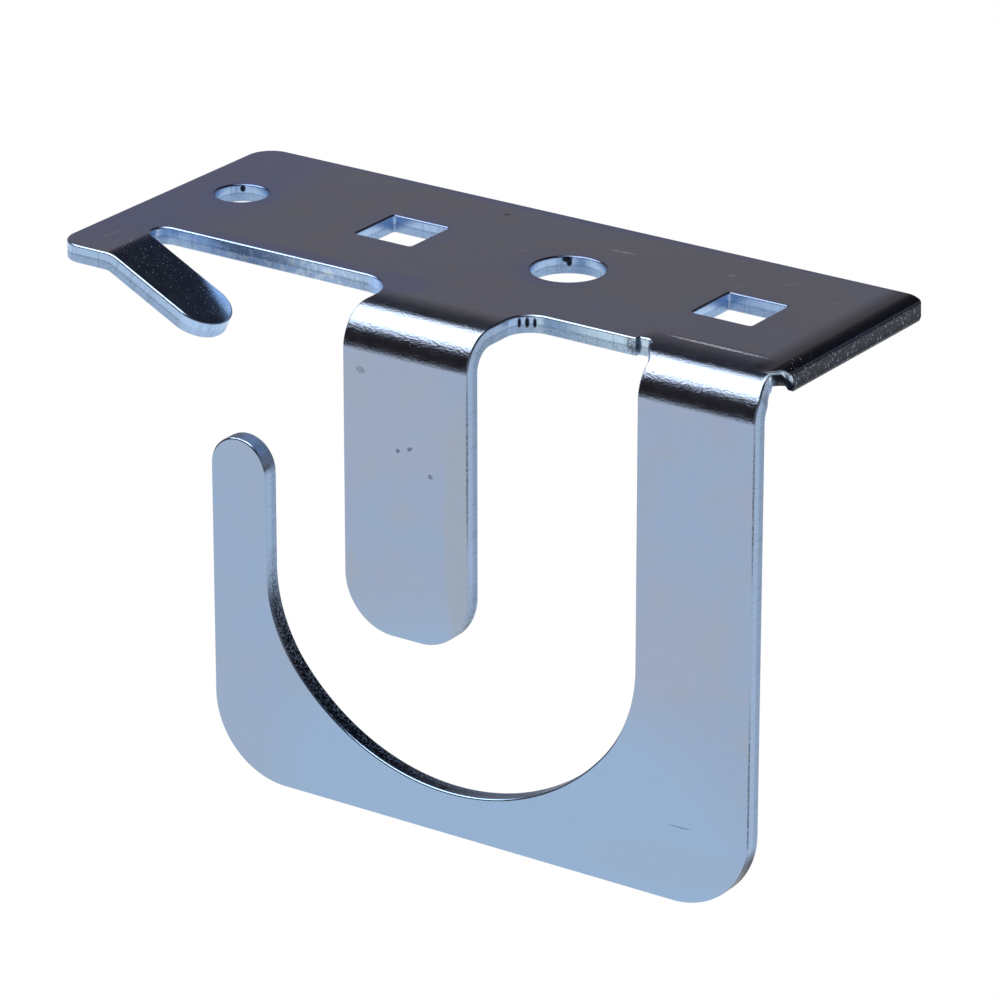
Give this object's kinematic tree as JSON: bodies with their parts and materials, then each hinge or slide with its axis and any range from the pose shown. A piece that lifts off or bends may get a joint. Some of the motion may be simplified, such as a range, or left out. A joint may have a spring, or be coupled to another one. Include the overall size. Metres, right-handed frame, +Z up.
{
  "type": "stamped metal bracket",
  "caption": "Flat stamped steel plate with a row of fixing holes, a sloping tongue, a turned-down tab and a wide arm that folds down into an upturned U-shaped hook.",
  "frame": {"origin": "centre of the large round hole, in the plate's top face", "axes": "+X along the plate from the tongue's end to the arm's end, +Y towards the plate's straight back edge, +Z up out of the plate's top face; the tab and the arm hang down to -Z"},
  "size_m": [0.085, 0.0375, 0.0592],
  "materials": {
    "zinc_steel": "bright zinc plating with a faint blue cast over smooth rolled sheet, punched edges slightly rougher"
  },
  "bodies": {
    "root": {"bracket": "zinc_steel"}
  },
  "joints": []
}
